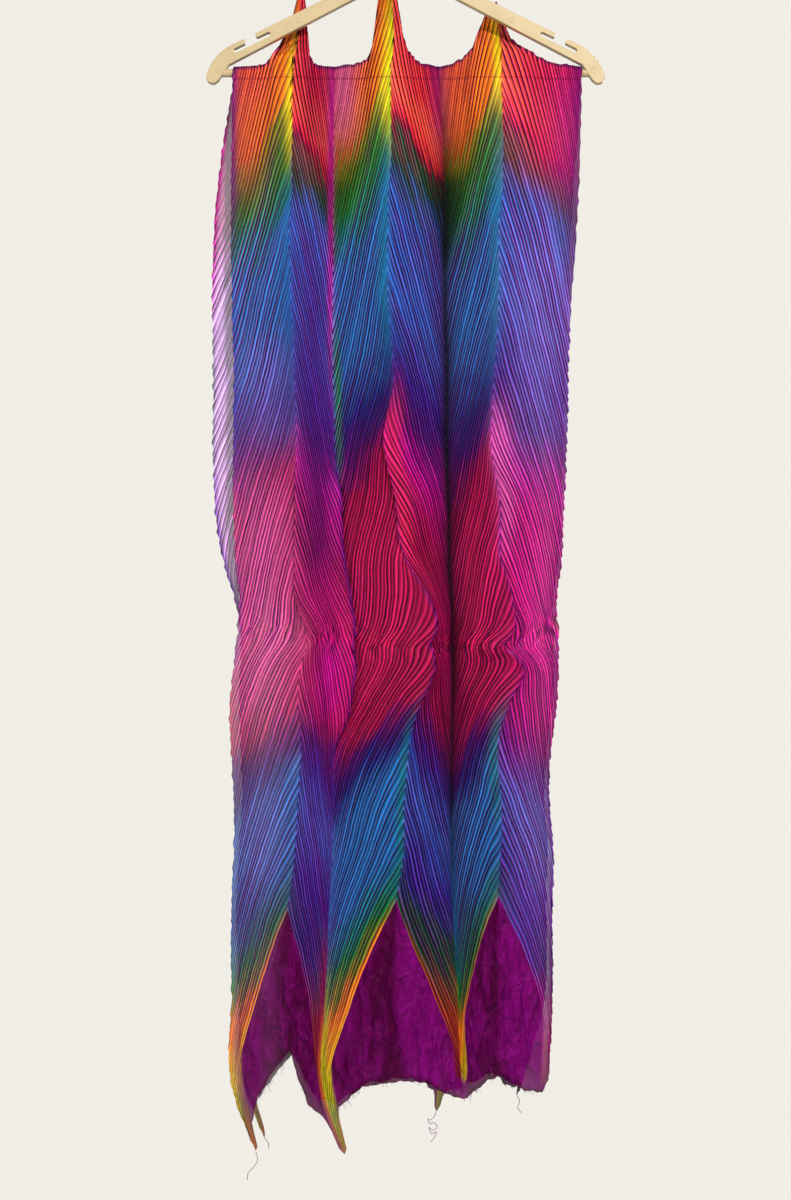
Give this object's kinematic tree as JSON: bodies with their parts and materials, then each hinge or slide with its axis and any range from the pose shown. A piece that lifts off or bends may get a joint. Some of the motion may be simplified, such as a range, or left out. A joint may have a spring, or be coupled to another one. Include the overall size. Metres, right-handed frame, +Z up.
{
  "type": "pleated shibori silk scarf on a clothes hanger",
  "caption": "Pole-dyed pleated silk scarf folded over the bar of a notched clothes hanger, its points hanging loose below plain silk ends.",
  "frame": {"origin": "inside crown of the hook, where the rail that holds the hanger touches it", "axes": "+Z up, +X to the right along the hanger as seen from the front, +Y away from the viewer"},
  "size_m": [0.43, 0.0667, 1.3615],
  "materials": {
    "silk": "sheer pleated silk dyed in bands of warm, green, blue and magenta",
    "moulding": "beige satin moulding",
    "wire": "plated round wire"
  },
  "bodies": {
    "root": {"scarf": "silk", "hanger": "moulding", "hook": "wire"}
  },
  "joints": []
}
